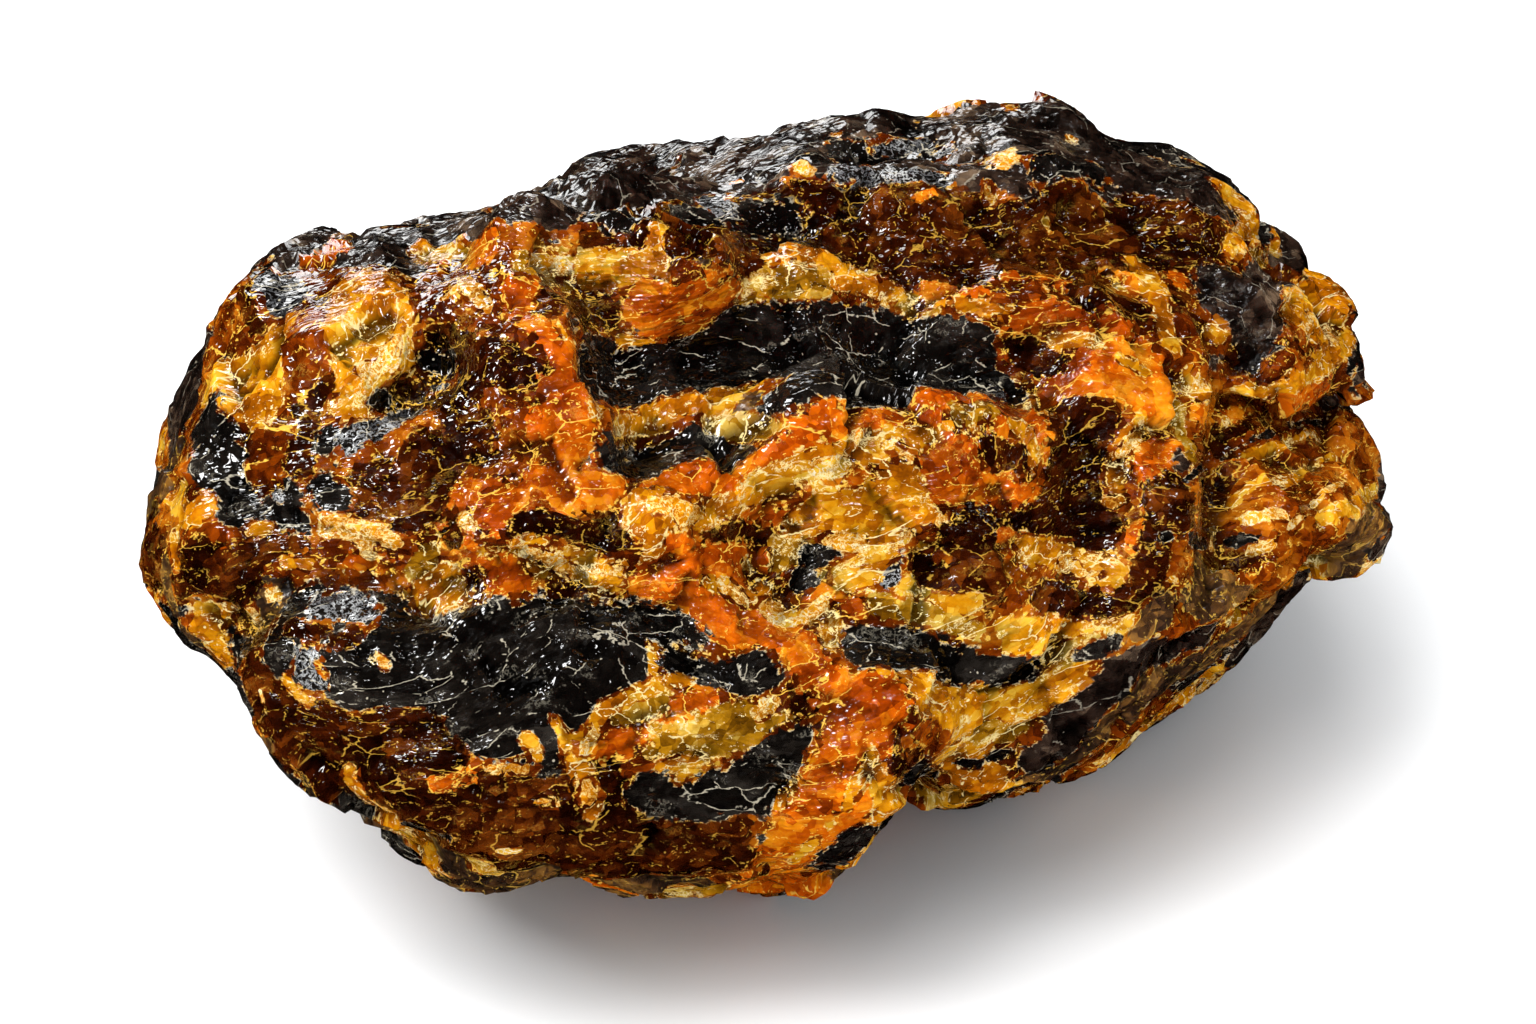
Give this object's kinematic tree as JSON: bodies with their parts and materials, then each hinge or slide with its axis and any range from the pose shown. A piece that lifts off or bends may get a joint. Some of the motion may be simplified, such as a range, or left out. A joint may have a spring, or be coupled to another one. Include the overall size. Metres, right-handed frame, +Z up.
{
  "type": "raw amber",
  "caption": "Rough lump of raw amber, broken and ledged, with see-through honey windows and a dark crust.",
  "frame": {"origin": "under the middle of the lump, on the surface it lies on", "axes": "+X along the lump to its ledged end, +Y towards its far side, +Z up"},
  "size_m": [0.0748, 0.055, 0.0406],
  "materials": {
    "amber": "fossil resin, see-through honey to cognac with pale fractures and a dark brown crust, waxy gloss"
  },
  "bodies": {
    "root": {"amber": "amber"}
  },
  "joints": []
}
